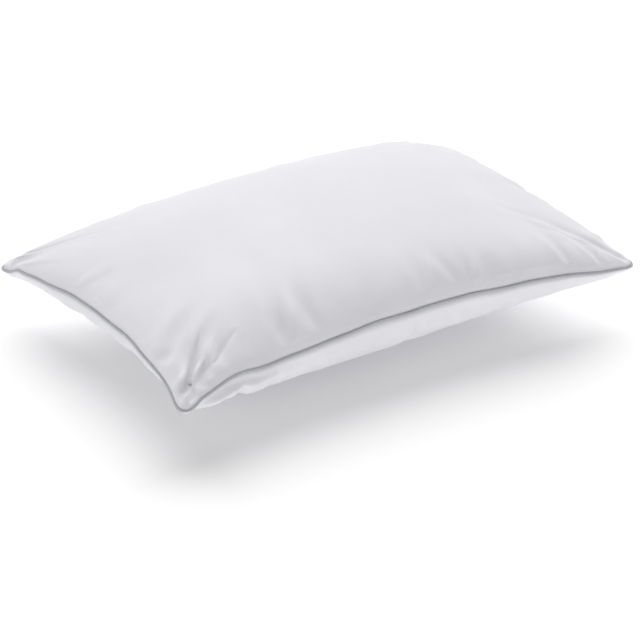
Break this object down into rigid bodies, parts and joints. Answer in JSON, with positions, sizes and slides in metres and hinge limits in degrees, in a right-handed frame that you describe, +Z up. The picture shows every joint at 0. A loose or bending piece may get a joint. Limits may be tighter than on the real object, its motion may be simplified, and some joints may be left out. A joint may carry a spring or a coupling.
{
  "type": "bed pillow",
  "caption": "Rectangular bed pillow: a crowned, fibre-filled cloth cover with corded piping all round its seam, drawn-in sides and a flattened underside that it rests on.",
  "frame": {"origin": "middle of the underside, on the surface that the pillow rests on", "axes": "+X along the long sides, +Y along the short sides, +Z up"},
  "size_m": [0.6636, 0.461, 0.181],
  "materials": {
    "cover_cloth": "smooth white sateen",
    "piping_cloth": "mid-grey woven bias tape",
    "cord_cotton": "twisted natural cotton cord",
    "filling_fibre": "loose crimped fibre",
    "sewing_thread": "white polyester thread",
    "label_satin": "blank white satin"
  },
  "bodies": {
    "root": {"top_panel": "cover_cloth", "bottom_panel": "cover_cloth", "fibre_filling": "filling_fibre", "piping_cord": "cord_cotton", "piping_tape": "piping_cloth", "seam_needle_thread": "sewing_thread", "seam_bobbin_thread": "sewing_thread", "closing_seam_thread": "sewing_thread", "overlock_thread": "sewing_thread", "care_label": "label_satin"}
  },
  "joints": []
}
